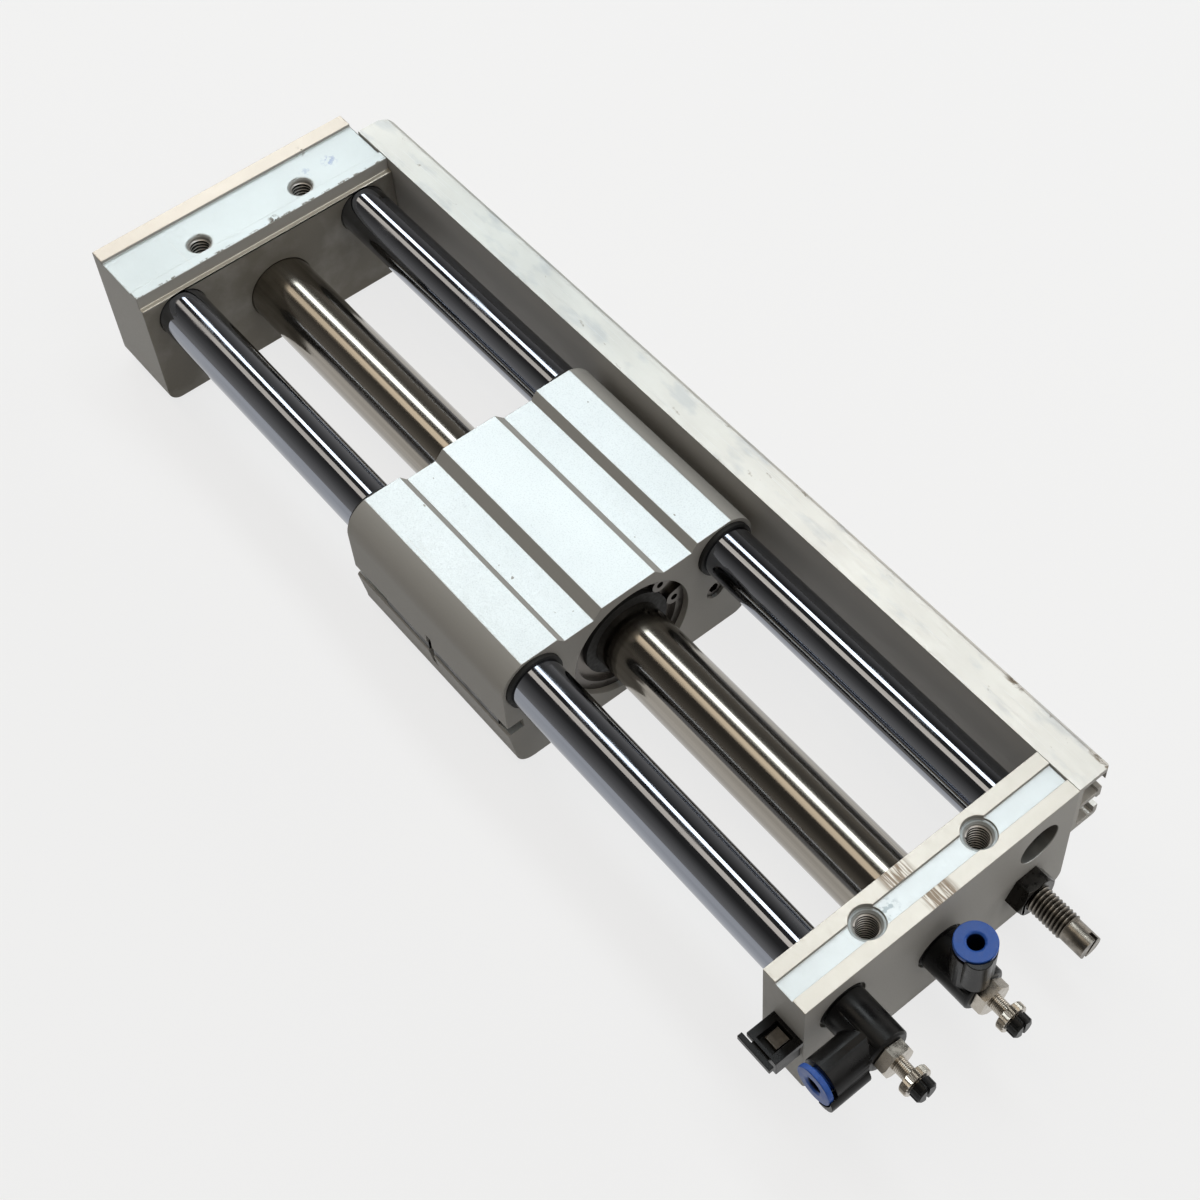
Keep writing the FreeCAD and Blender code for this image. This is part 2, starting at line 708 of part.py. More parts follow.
slot = box(stop_x1 - stop_slot_deep, stop_x1 + 1, stop_y - stop_r, stop_y + stop_r,
           stop_z - stop_slot_w / 2, stop_z + stop_slot_w / 2)
slot.rotate(V(0, stop_y, stop_z), V(1, 0, 0), stop_slot_deg)
stop = stop.cut(slot)
save("absorber_body", stop)
nut = hex_x(near_out, near_out + stop_nut_thick, stop_y, stop_z, stop_nut_af)
nut_corner = stop_nut_af * 0.6
nut_face = stop_nut_af * 0.5
nut_round = [(near_out, 0), (near_out, nut_corner), (thread_start - nut_bevel, nut_corner)]
nut_round += [(thread_start, nut_face), (thread_start, 0)]
nut = nut.common(turned(nut_round, stop_y, stop_z))
nut = nut.cut(rod_along("x", near_out - 1, thread_start + 1, stop_y, stop_z, stop_r + seat_fit))
save("absorber_nut", nut)
plunger_x1 = stop_cavity - stop_stroke - stop_bottom_gap
save("absorber_rod", rod_along("x", stop_x0 - stop_stroke, plunger_x1, stop_y, stop_z, stop_rod_r))

# Flow controllers: the same set on two ports, with the branch turned a different way
places = {"left": (-rod_y, rod_z, 90.0, bonnet_turn_left), "right": (0.0, tube_z, 0.0, bonnet_turn_right)}
core_end = near_out + elbow_stand + elbow_len + elbow_stand
bonnet_end = core_end + bonnet_len
lock_x0 = bonnet_end + lock_stand
lock_x1 = lock_x0 + lock_thick
knob_x0 = lock_x1 + knob_gap
knob_x1 = knob_x0 + knob_len
spindle_end = knob_x1 - knob_slot_deep - knob_web
elbow_x0 = near_out + elbow_stand
elbow_x1 = elbow_x0 + elbow_len
arm_x = near_out + branch_x


def metal_body(y, z, turn):
    """Threaded stem, smooth core for the elbow, and the hexagon that tightens it."""
    stem_x0 = tube_floor + stem_inset
    body = rod_along("x", stem_x0, near_out - port_spot_deep, y, z, port_r - seat_fit)
    body = body.fuse(rod_along("x", near_out - port_spot_deep, core_end, y, z, core_r))
    corner_r = bonnet_af / math.sqrt(3)
    hood = turned([(core_end, 0), (core_end, corner_r), (bonnet_end - bonnet_edge, corner_r),
                   (bonnet_end, corner_r - bonnet_edge), (bonnet_end, 0)], y, z)
    body = body.fuse(hood.common(hex_x(core_end, bonnet_end, y, z, bonnet_af, turn)))
    return body.cut(rod_along("x", stem_x0 - 1, bonnet_end + 1, y, z, spindle_r + turn_fit))


def elbow_shape(y, z, turn):
    """Swivelling plastic elbow with an outer lobe; the branch points up before it is turned about X."""
    edge_r = elbow_r - elbow_edge
    body = turned([(elbow_x0, 0), (elbow_x0, elbow_r), (elbow_x1 - elbow_edge, elbow_r), (elbow_x1, edge_r),
                   (elbow_x1, 0)], 0, 0)
    arm = rod_along("z", 0, branch_len, arm_x, 0, branch_r)
    ring_top = branch_len + ring_stand + ring_thick
    lobe = rod_along("z", lobe_start, ring_top, arm_x + lobe_out, -lobe_side, lobe_r)
    lobe = lobe.cut(rod_along("z", branch_len, ring_top + 1, arm_x, 0, ring_r + free_gap))
    body = body.fuse(arm).fuse(lobe)
    body = body.cut(rod_along("z", branch_len - branch_bore_deep, branch_len + 1, arm_x, 0, branch_bore_r))
    body = body.cut(rod_along("x", elbow_x0 - 1, elbow_x1 + 1, 0, 0, core_r + turn_fit))
    body = body.cut(rod_along("x", elbow_x1, bonnet_end, 0, 0, elbow_r))
    return place(body.removeSplitter(), y, z, turn)


def place(shape, y, z, turn):
    shape.rotate(V(0, 0, 0), V(1, 0, 0), turn)
    shape.translate(V(0, y, z))
    return shape


def ring_shape(y, z, turn):
    """Release ring: a flange that is pressed in, on a sleeve inside the branch."""
    flange_z = branch_len + ring_stand
    sleeve_z = flange_z - ring_sleeve_len
    ring = rod_along("z", sleeve_z, flange_z + ring_thick / 2, arm_x, 0, ring_sleeve_r)
    ring = ring.fuse(rod_along("z", flange_z, flange_z + ring_thick, arm_x, 0, ring_r))
    top = flange_z + ring_thick
    ring = ring.cut(rod_along("z", sleeve_z - 1, top + 1, arm_x, 0, ring_hole_r))
    mouth_at = V(arm_x, 0, top - ring_mouth)
    ring = ring.cut(Part.makeCone(ring_hole_r, ring_hole_r + ring_mouth, ring_mouth, mouth_at, V(0, 0, 1)))
    return place(ring, y, z, turn)


def lock_nut_shape(y, z):
    """Knurled lock nut: a toothed rim on a plain bore."""
    rim = []
    for k in range(2 * lock_teeth):
        r = lock_r if k % 2 == 0 else lock_r - lock_tooth
        rim.append(corner_point(y, z, r, 180.0 * k / lock_teeth))
    low_r = lock_r - lock_edge
    nut = turned([(lock_x0, 0), (lock_x0, low_r), (lock_x0 + lock_edge, lock_r),
                  (lock_x1 - lock_edge, lock_r), (lock_x1, low_r), (lock_x1, 0)], y, z)
    nut = nut.common(polygon_x(rim, lock_x0, lock_x1))
    return nut.cut(rod_along("x", lock_x0 - 1, lock_x1 + 1, y, z, spindle_r + turn_fit))


def knob_shape(y, z):
    """Fluted knob with a screwdriver slot in its end."""
    nose = [(knob_x1 - knob_edge, knob_r), (knob_x1, knob_r - knob_edge), (knob_x1, 0)]
    knob = turned([(knob_x0, 0), (knob_x0, knob_r)] + nose, y, z)
    for k in range(knob_flutes):
        fy, fz = corner_point(y, z, knob_r + knob_flute_out, 360.0 * k / knob_flutes)
        knob = knob.cut(rod_along("x", knob_x0 - 1, knob_x1 + 1, fy, fz, knob_flute_r))
    knob = knob.cut(box(knob_x1 - knob_slot_deep, knob_x1 + 1, y - knob_slot_w / 2, y + knob_slot_w / 2,
                        z - knob_r, z + knob_r))
    return knob.cut(rod_along("x", knob_x0 - 1, spindle_end, y, z, spindle_r + seat_fit))


bodies = []
stem_seals = []
for side, (y, z, turn, bonnet_turn) in places.items():
    bodies.append(metal_body(y, z, bonnet_turn))
    seal_x = near_out - port_spot_deep
    stem_seals.append(ring_x(seal_x, seal_x + stem_seal_thick, y, z, stem_seal_r, core_r + seat_fit))
    save("elbow_" + side, elbow_shape(y, z, turn))
    save("release_ring_" + side, ring_shape(y, z, turn))
    save("lock_nut_" + side, lock_nut_shape(y, z))
    save("knob_" + side, knob_shape(y, z))
    tip = tube_floor + needle_inset
    save("needle_" + side, rod_along("x", tip, spindle_end, y, z, spindle_r))
save("flow_bodies", *bodies)
save("stem_seals", *stem_seals)

# Black side clip on the port plate, with a square metal insert in its window
clip_x1 = near_out - clip_edge_inset
clip_x0 = clip_x1 - clip_block_x
clip_y1 = -plate_w / 2
clip_y0 = clip_y1 - clip_block_y
clip_z1 = -clip_block_drop
clip_z0 = clip_z1 - clip_block_z
mid_x = (clip_x0 + clip_x1) / 2
mid_y = (clip_y0 + clip_y1) / 2
frame_z = clip_z1 - clip_frame
clip = box(clip_x0, clip_x1, clip_y0, clip_y1, frame_z, clip_z1)
inset = clip_body_inset
clip = clip.fuse(box(clip_x0 + inset, clip_x1 - inset, clip_y0 + inset, clip_y1, clip_z0, frame_z))
window_y1 = mid_y + clip_window_y / 2
floor = clip_z1 - clip_window_deep
clip = clip.cut(box(mid_x - clip_window_x / 2, mid_x + clip_window_x / 2,
                    mid_y - clip_window_y / 2, window_y1, floor, clip_z1 + 1))
lip_y1 = clip_y0 - clip_lip_gap
lip_z1 = clip_z1 - clip_lip_drop
lip_z0 = lip_z1 - clip_lip_z
clip = clip.fuse(box(clip_x0 - clip_lip_over, clip_x1, lip_y1 - clip_lip_y, lip_y1, lip_z0, lip_z1))
neck = clip_neck / 2
clip = clip.fuse(box(mid_x - neck, mid_x + neck, lip_y1, clip_y0 + inset, lip_z0, frame_z + clip_frame / 2))
save("side_clip", clip.removeSplitter())
insert_y1 = window_y1 - insert_wall_gap
half = insert_size / 2
insert = box(mid_x - half, mid_x + half, insert_y1 - insert_size, insert_y1, floor, floor + insert_thick)
save("clip_insert", insert)
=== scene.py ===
import json
import math

import bmesh
import bpy
import numpy as np
from mathutils import Matrix

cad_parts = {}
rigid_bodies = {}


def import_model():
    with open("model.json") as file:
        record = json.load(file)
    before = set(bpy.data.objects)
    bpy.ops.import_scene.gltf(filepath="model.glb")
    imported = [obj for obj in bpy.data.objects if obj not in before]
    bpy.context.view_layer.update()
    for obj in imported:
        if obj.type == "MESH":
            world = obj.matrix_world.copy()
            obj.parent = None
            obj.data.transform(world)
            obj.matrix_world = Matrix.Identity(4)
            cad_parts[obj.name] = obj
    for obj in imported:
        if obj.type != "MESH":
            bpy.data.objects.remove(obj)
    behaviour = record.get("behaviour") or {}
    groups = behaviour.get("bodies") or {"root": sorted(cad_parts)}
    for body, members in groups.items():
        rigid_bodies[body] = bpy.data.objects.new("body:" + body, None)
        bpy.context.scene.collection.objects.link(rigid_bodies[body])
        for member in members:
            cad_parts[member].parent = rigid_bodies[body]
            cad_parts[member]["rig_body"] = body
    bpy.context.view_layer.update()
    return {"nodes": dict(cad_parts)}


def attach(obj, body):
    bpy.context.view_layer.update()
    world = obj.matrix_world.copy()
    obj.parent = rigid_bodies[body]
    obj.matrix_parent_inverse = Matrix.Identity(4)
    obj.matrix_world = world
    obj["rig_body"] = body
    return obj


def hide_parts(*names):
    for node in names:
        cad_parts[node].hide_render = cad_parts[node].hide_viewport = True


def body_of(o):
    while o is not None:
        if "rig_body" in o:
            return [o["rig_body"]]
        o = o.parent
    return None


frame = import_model()
nodes = frame["nodes"]


# Cylinder tube: thin drawn stainless, polished outside, clamped with a flat gasket at each end.
# Drawing has left fine lines along it, which broaden its highlight.
def plug(tree, socket, value):
    """Links a value that is another node's socket, and sets any other value."""
    if isinstance(value, bpy.types.NodeSocket):
        tree.links.new(value, socket)
    else:
        socket.default_value = value


def feed(tree, node, **inputs):
    """Plugs values into a shader node's inputs, named with _ for each space."""
    for key, value in inputs.items():
        plug(tree, node.inputs[key.replace("_", " ")], value)


def add(tree, kind, props=None, **inputs):
    """Adds a shader node with its settings and inputs."""
    made = tree.nodes.new(kind)
    for key, value in (props or {}).items():
        setattr(made, key, value)
    feed(tree, made, **inputs)
    return made


def blank_finish(name, **fixed):
    """A new material with one Principled shader; fixed values go straight on its sockets."""
    mat = bpy.data.materials.new(name)
    mat.use_nodes = True
    tree = mat.node_tree
    tree.nodes.clear()
    shader = add(tree, "ShaderNodeBsdfPrincipled", **fixed)
    add(tree, "ShaderNodeOutputMaterial", Surface=shader.outputs["BSDF"])
    return mat, tree, shader


def stretched_noise(tree, scale, detail=2.0, turn=0.0):
    """Noise on the piece's own coordinates, with a scale along each axis, turned about Z."""
    place = add(tree, "ShaderNodeTexCoord").outputs["Object"]
    mapped = add(tree, "ShaderNodeMapping", Vector=place, Scale=scale, Rotation=(0.0, 0.0, turn))
    noise = add(tree, "ShaderNodeTexNoise", Vector=mapped.outputs["Vector"], Scale=1.0,
                Detail=detail)
    return noise.outputs["Fac"]


def spread(tree, value, low, high, to_low=0.0, to_high=1.0):
    """Maps low..high of a value to to_low..to_high, clamped."""
    made = add(tree, "ShaderNodeMapRange", Value=value, From_Min=low, From_Max=high,
               To_Min=to_low, To_Max=to_high)
    return made.outputs["Result"]


def two_tones(tree, factor, first, second, blend="MIX"):
    """Blend of two colours, each a socket or three numbers."""
    tones = [c if isinstance(c, bpy.types.NodeSocket) else (*c, 1.0) for c in (first, second)]
    made = add(tree, "ShaderNodeMixRGB", {"blend_type": blend}, Fac=factor,
               Color1=tones[0], Color2=tones[1])
    return made.outputs["Color"]


def relief(tree, height, distance):
    """Bump from a texture; distance is the real height in metres."""
    made = add(tree, "ShaderNodeBump", Height=height, Distance=distance, Strength=1.0)
    return made.outputs["Normal"]


def grid_quads(rows, cols, wrap):
    """Quads of a rows x cols grid of points; wrap joins the last column to the first."""
    i, j = np.meshgrid(np.arange(rows - 1), np.arange(cols if wrap else cols - 1), indexing="ij")
    k = (j + 1) % cols
    quads = [i * cols + j, i * cols + k, (i + 1) * cols + k, (i + 1) * cols + j]
    return np.stack(quads, -1).reshape(-1, 4)


def ring_faces(rows, around, looped):
    """Faces over rows of points round an axis. A looped profile joins its last row to its first;
    any other is closed by a fan to each of the two points that follow the rows."""
    j = np.arange(around)
    k = (j + 1) % around
    last = (rows - 1) * around
    faces = grid_quads(rows, around, True)[:, ::-1].tolist()
    if looped:
        return faces + np.stack([j, k, last + k, last + j], -1).tolist()
    hub = np.full(around, rows * around)
    faces += np.stack([hub, j, k], -1).tolist()
    return faces + np.stack([hub + 1, last + k, last + j], -1).tolist()


def turned(x, radius, y, z):
    """Surface of revolution about an X line through (y, z): a circle of the given radius at each x.
    A profile that ends where it starts closes on itself; one that starts and ends at radius zero
    is closed with a fan at each end."""
    around = 96
    x, radius = np.asarray(x), np.asarray(radius)
    looped = radius[0] > 0
    rows = slice(0, -1) if looped else slice(1, -1)
    angle = np.linspace(0, 2 * np.pi, around, endpoint=False)[None, :]
    cx, cr = x[rows, None], radius[rows, None]
    verts = np.stack([cx + 0 * angle, y + cr * np.cos(angle), z + cr * np.sin(angle)], -1)
    verts = verts.reshape(-1, 3)
    if not looped:
        verts = np.concatenate([verts, [[x[0], y, z], [x[-1], y, z]]])
    return verts, ring_faces(len(cx), around, looped)


def put_mesh(name, verts, faces, finish, body):
    """One smooth mesh object in the part's frame, riding on a CAD body, with the given finish."""
    mesh = bpy.data.meshes.new(name)
    faces = faces.tolist() if isinstance(faces, np.ndarray) else faces
    mesh.from_pydata(verts.tolist(), [], faces)
    mesh.polygons.foreach_set("use_smooth", np.ones(len(mesh.polygons), dtype=bool))
    mesh.materials.append(finish)
    obj = bpy.data.objects.new(name, mesh)
    bpy.context.scene.collection.objects.link(obj)
    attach(obj, body)
    return obj


def crisp(obj, corner=35.0):
    """Keeps edges sharper than the given corner sharp in an otherwise smooth piece."""
    obj.modifiers.new("crisp", "EDGE_SPLIT").split_angle = math.radians(corner)
    return obj


tube_finish, tree, shader = blank_finish("drawn stainless", Metallic=1.0)
drawn = spread(tree, stretched_noise(tree, (7.0, 620.0, 620.0)), 0.35, 0.65)
feed(tree, shader,
     Base_Color=two_tones(tree, drawn, (0.37, 0.343, 0.302), (0.29, 0.268, 0.234)),
     Roughness=spread(tree, drawn, 0.0, 1.0, 0.11, 0.19),
     Normal=relief(tree, drawn, 0.0000025))
tube_x0, tube_x1, tube_out, tube_in, tube_z = -0.153, 0.1485, 0.0108, 0.010, -0.0212
verts, faces = turned([tube_x0, tube_x0, tube_x1, tube_x1, tube_x0],
                      [tube_in, tube_out, tube_out, tube_in, tube_in], 0.0, tube_z)
tube = crisp(put_mesh("stainless_tube", verts, faces, tube_finish, "frame"))
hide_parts("cylinder_tube")


# Magnetic coupling: ring magnets between soft steel pole rings, round the tube and inside it.
# Dark anodised collars close the outer stack; the pistons close the inner one.
def mottled(name, scale, detail, tones, rough, height=None, **fixed):
    """A finish from one noise with the same scale every way: it blends two tones, moves the
    roughness between two values and, where a height is given, roughens the surface."""
    mat, tree, shader = blank_finish(name, **fixed)
    noise = stretched_noise(tree, (scale, scale, scale), detail)
    feed(tree, shader, Base_Color=two_tones(tree, noise, *tones),
         Roughness=spread(tree, noise, 0.3, 0.7, *rough))
    if height:
        feed(tree, shader, Normal=relief(tree, noise, height))
    return mat


def dress(finish, *pieces):
    """Gives CAD pieces their finish."""
    for piece in pieces:
        nodes[piece].data.materials.clear()
        nodes[piece].data.materials.append(finish)


magnet_finish = mottled("sintered magnet", scale=1500.0, detail=3.0, rough=(0.35, 0.55),
                        tones=((0.26, 0.26, 0.28), (0.34, 0.34, 0.36)), Metallic=0.8)
steel_finish = mottled("plated steel", scale=700.0, detail=4.0, rough=(0.28, 0.45), height=0.000006,
                       tones=((0.50, 0.495, 0.48), (0.41, 0.405, 0.395)), Metallic=1.0)
collar_finish = mottled("dark anodising", scale=1300.0, detail=2.0, rough=(0.30, 0.44),
                        tones=((0.13, 0.12, 0.108), (0.19, 0.175, 0.16)), Metallic=1.0)
dress(magnet_finish, "outer_magnets", "inner_magnets")
dress(steel_finish, "outer_yokes", "inner_yokes", "piston_wear_rings")
dress(collar_finish, "end_collars", "pistons")


# Rubber pieces: gaskets, stem seals and the black scrapers that ride on the rods and the tube.
# They are moulded and slightly dusty, so they take little light.
rubber_finish = mottled("black rubber", scale=900.0, detail=3.0, rough=(0.55, 0.8), height=0.00002,
                        tones=((0.010, 0.010, 0.010), (0.022, 0.022, 0.021)),
                        Specular_IOR_Level=0.35)
dress(rubber_finish, "tube_gaskets", "stem_seals", "rod_scrapers", "tube_scrapers",
      "piston_seals", "piston_bumpers")


# Slide block: an aluminium extrusion, cut to length, bored and clear anodised.
# Five lands run along its top, with bead blasted grain, and a narrow slot runs along each side.
# Snap rings hold the coupling in it, and a stop pad is screwed in; both are blackened and oiled.
def maths(tree, operation, first, second):
    """Result of an operation on two values, each a socket or a number."""
    made = add(tree, "ShaderNodeMath", {"operation": operation})
    plug(tree, made.inputs[0], first)
    plug(tree, made.inputs[1], second)
    return made.outputs["Value"]


def steep(tree, flat=0.8, soft=0.2):
    """One on the sides and the underside of a piece, nothing on faces that look up; flat is the
    upward part of the normal that still counts as up, and soft is how far below it the mask takes
    to reach one."""
    facing = add(tree, "ShaderNodeTexCoord").outputs["Normal"]
    up = add(tree, "ShaderNodeSeparateXYZ", Vector=facing).outputs["Z"]
    return spread(tree, up, flat - soft, flat, 1.0, 0.0)


def tinted(tree, colour, mask, tint):
    """Multiplies a colour by a tint where the mask is one."""
    return two_tones(tree, mask, colour, tint, "MULTIPLY")


def anodised(name, tone, worn, sides, drawn, marks, handling_and_highlight, flat=0.8, soft=0.2, painted_shade=None):
    """Satin anodised aluminium: a cloudy tone, fine grain drawn out as the tool went, hairlines
    where their noise passes the value of marks, and whatever handling and painted highlight have
    added, as a function from colour to colour. Faces that don't look up have the sides' darker
    colour, which is painted shade, and are matt with dust. Painted shade of other places is another
    such function, and lies over both."""
    bare_metal, hair_scale, hair_turn = (0.74, 0.73, 0.71), (30.0, 3600.0, 30.0), 0.5
    mat, tree, shader = blank_finish(name)
    cloud = spread(tree, stretched_noise(tree, (38.0, 38.0, 38.0), 4.0), 0.35, 0.65)
    hair = spread(tree, stretched_noise(tree, hair_scale, 1.0, hair_turn), marks, marks + 0.05)
    top = handling_and_highlight(tree, two_tones(tree, hair, two_tones(tree, cloud, tone, worn), bare_metal))
    matt = steep(tree, flat, soft)
    # Faces that don't look up take the darker sides' colour: painted shade.
    colour = two_tones(tree, matt, top, sides)
    grain = stretched_noise(tree, drawn, 3.0)
    satin = spread(tree, grain, 0.3, 0.7, 0.36, 0.46)
    dust = spread(tree, matt, 0.0, 1.0, 0.0, 0.20)
    feed(tree, shader,
         Base_Color=painted_shade(tree, colour) if painted_shade else colour,
         Metallic=spread(tree, matt, 0.0, 1.0, 0.60, 0.06),
         Roughness=maths(tree, "ADD", satin, dust),
         Normal=relief(tree, maths(tree, "SUBTRACT", grain, hair), 0.000010))
    return mat


def eased(node, finish, rounding, corner=30.0):
    """A copy of a CAD piece with its triangles joined and its flat faces made whole, and every edge
    sharper than the given corner rounded."""
    merge_gap, flat_angle = 0.000002, math.radians(0.4)
    work = bmesh.new()
    work.from_mesh(nodes[node].data)
    bmesh.ops.remove_doubles(work, verts=work.verts, dist=merge_gap)
    bmesh.ops.dissolve_limit(work, angle_limit=flat_angle, verts=work.verts, edges=work.edges)
    work.verts.index_update()
    verts = np.array([v.co[:] for v in work.verts])
    faces = [[v.index for v in f.verts] for f in work.faces]
    work.free()
    obj = put_mesh(node + "_eased", verts, faces, finish, body_of(nodes[node])[0])
    edge = obj.modifiers.new("rounded", "BEVEL")
    edge.width = rounding
    edge.segments = 2
    edge.limit_method = "ANGLE"
    edge.angle_limit = math.radians(corner)
    edge.use_clamp_overlap = False
    edge.harden_normals = True
    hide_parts(node)
    return obj


def block_handling(tree, colour):
    """Blasted grains that catch the light, and a few small pits."""
    grit = spread(tree, stretched_noise(tree, (2300.0, 2300.0, 2300.0), 1.0), 0.50, 0.72)
    pits = spread(tree, stretched_noise(tree, (420.0, 420.0, 420.0), 1.0), 0.79, 0.81)
    colour = tinted(tree, colour, grit, (0.88, 0.885, 0.89))
    return tinted(tree, colour, pits, (0.45, 0.42, 0.38))


# The block's sides' colour is painted shade.
block_finish = anodised("block anodising", tone=(0.670, 0.711, 0.721), worn=(0.637, 0.677, 0.688),
                        sides=(0.310, 0.302, 0.284), drawn=(1900.0, 1900.0, 1900.0), marks=0.78,
                        handling_and_highlight=block_handling, flat=0.985, soft=0.03)
eased("slide_block", block_finish, rounding=0.00018, corner=12.0)
dark_finish = mottled("blackened steel", scale=420.0, detail=4.0, rough=(0.26, 0.45),
                      height=0.000006, tones=((0.085, 0.080, 0.074), (0.16, 0.148, 0.135)),
                      Metallic=1.0)
dress(dark_finish, "stop_pad", "retaining_rings")
dress(steel_finish, "switch_magnet")


# Bushes and wear rings: dark dry-bearing plastic, pressed into the block and the collars.
# Only their ends show, behind the scrapers.
bush_finish = mottled("dry bearing", scale=1800.0, detail=2.0, rough=(0.45, 0.65),
                      tones=((0.030, 0.028, 0.026), (0.070, 0.062, 0.055)))
dress(bush_finish, "guide_bushes", "tube_wear_rings")


# Guide rods: 16 mm carbon steel bar, ground, hard chromed and polished.
# They are pushed into both plates; the left one is drilled through to carry air.
# The piston's shaft has the same chrome.
rod_finish, tree, shader = blank_finish("hard chrome", Metallic=1.0)
film = spread(tree, stretched_noise(tree, (16.0, 420.0, 420.0)), 0.35, 0.65)
polish = spread(tree, film, 0.0, 1.0, 0.035, 0.075)
smear = spread(tree, stretched_noise(tree, (55.0, 260.0, 260.0), 3.0), 0.50, 0.74, 0.0, 0.15)
feed(tree, shader,
     Base_Color=two_tones(tree, film, (0.300, 0.318, 0.360), (0.250, 0.265, 0.300)),
     Roughness=maths(tree, "ADD", polish, smear),
     Normal=relief(tree, film, 0.0000012))
rod_x0, rod_x1, rod_r, rod_y, rod_z = -0.159, 0.1485, 0.008, 0.0331, -0.0086
chamfer, air_bore = 0.0006, 0.003
solid_x = [rod_x0, rod_x0, rod_x0 + chamfer, rod_x1 - chamfer, rod_x1, rod_x1]
solid_r = [0.0, rod_r - chamfer, rod_r, rod_r, rod_r - chamfer, 0.0]
drilled_x = solid_x + [rod_x0]
drilled_r = [air_bore] + solid_r[1:-1] + [air_bore, air_bore]
for side, y, x, radius in (("left", -rod_y, drilled_x, drilled_r),
                           ("right", rod_y, solid_x, solid_r)):
    verts, faces = turned(x, radius, y, rod_z)
    name = "polished_rod_" + side
    rod = crisp(put_mesh(name, verts, faces, rod_finish, "frame"))
    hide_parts("guide_rod_" + side)
dress(rod_finish, "piston_shaft")


# End plates: two blocks sawn from aluminium bar, milled, bead blasted and clear anodised. A band
# across each mounting face is cut lower, so that only the strips beside it bear on the machine.
# The far one is thicker and carries the inner air passage; the near one carries the ports.
def both(tree, first, second):
    """Where two masks overlap: their product."""
    return maths(tree, "MULTIPLY", first, second)


def between(tree, axis, low, high, soft=0.0002):
    """One between two values of a coordinate of the piece, with a soft margin at each end."""
    place = add(tree, "ShaderNodeTexCoord").outputs["Object"]
    level = add(tree, "ShaderNodeSeparateXYZ", Vector=place).outputs[axis]
    return both(tree, spread(tree, level, low - soft, low + soft),
                spread(tree, level, high - soft, high + soft, 1.0, 0.0))


def near_point(tree, point, reach):
    """One round a point of the piece, falling to nothing at the given reach."""
    core = 0.45 * reach
    gap = add(tree, "ShaderNodeVectorMath", {"operation": "DISTANCE"})
    plug(tree, gap.inputs[0], add(tree, "ShaderNodeTexCoord").outputs["Object"])
    plug(tree, gap.inputs[1], point)
    return spread(tree, gap.outputs["Value"], core, reach, 1.0, 0.0)


def plate_wear_and_highlight(tree, colour):
    """Creamy bearing strips beside a cooler band, and duller turned floors of the wells; two
    patches rubbed brown across the near strips, a chipped edge and a few nicks and smudges on the
    far plate, and a painted highlight along the edge of the far plate's inner ledge."""
    cream, cool, sand = (1.0, 0.895, 0.80), (0.87, 0.89, 0.89), (1.16, 0.97, 0.84)
    dull, lip_highlight = (0.50, 0.505, 0.50), (1.22, 1.06, 0.90)
    brown, chip = (0.36, 0.29, 0.235), (0.30, 0.26, 0.22)
    strips = between(tree, "Z", 0.0035, 0.0100)
    near = between(tree, "X", 0.1300, 0.1600)
    far = between(tree, "X", -0.1700, -0.1300)
    far_outer = between(tree, "X", -0.1700, -0.1605)
    far_inner = between(tree, "X", -0.1415, -0.1400)
    well_floors = between(tree, "Z", 0.0019, 0.0028)
    lit_ledge_edge = both(tree, between(tree, "X", -0.1412, -0.1380), between(tree, "Z", -0.0010, 0.0005))
    colour = tinted(tree, colour, both(tree, near, strips), cream)
    colour = tinted(tree, colour, far, cool)
    colour = tinted(tree, colour, both(tree, far_outer, strips), sand)
    colour = tinted(tree, colour, well_floors, dull)
    # Painted highlight: a pale warm line along the edge of the far plate's inner ledge.
    colour = tinted(tree, colour, lit_ledge_edge, lip_highlight)
    rubs = spread(tree, stretched_noise(tree, (130.0, 1900.0, 130.0), 4.0), 0.38, 0.52)
    rub_half, rub_fade = 0.0042, 0.0010
    for low, high, y in ((0.1415, 0.1470, -0.0048), (0.1520, 0.1575, -0.0003)):
        patch = both(tree, between(tree, "X", low, high),
                     between(tree, "Y", y - rub_half, y + rub_half, rub_fade))
        colour = tinted(tree, colour, both(tree, both(tree, patch, strips), rubs), brown)
    flakes = spread(tree, stretched_noise(tree, (620.0, 620.0, 620.0), 3.0), 0.50, 0.58)
    colour = tinted(tree, colour, both(tree, both(tree, strips, far_inner), flakes), chip)
    for point, reach, tint in (((-0.1615, 0.0265, 0.004), 0.0022, chip),
                               ((-0.1420, 0.0041, 0.004), 0.0020, (0.22, 0.19, 0.16)),
                               ((-0.1527, 0.0316, 0.003), 0.0030, (0.62, 0.66, 0.84)),
                               ((-0.1530, 0.0232, 0.003), 0.0026, (0.74, 0.78, 0.88)),
                               ((0.1494, -0.0120, 0.003), 0.0036, (0.60, 0.64, 0.66))):
        colour = tinted(tree, colour, both(tree, near_point(tree, point, reach), flakes), tint)
    return colour


def plate_painted_shade(tree, colour):
    """Painted shade: a dark tint in the pocket round the solid rod's end screw, and a blotchy
    darkening of the inner face of the far plate."""
    pocket_shade, inner_face_shade = (0.16, 0.148, 0.13), (0.48, 0.455, 0.405)
    sunk = between(tree, "X", 0.1400, 0.1567, 0.0001)
    pocket = near_point(tree, (0.1535, rod_y, rod_z), 0.0120)
    inner = both(tree, between(tree, "X", -0.1394, -0.1380), between(tree, "Z", -0.0450, -0.0007))
    blots = spread(tree, stretched_noise(tree, (90.0, 90.0, 90.0), 4.0), 0.30, 0.55, 0.6, 1.0)
    # Painted shade in the pocket, and blotchy painted shade on the far plate's inner face.
    colour = tinted(tree, colour, both(tree, sunk, pocket), pocket_shade)
    return tinted(tree, colour, both(tree, inner, blots), inner_face_shade)


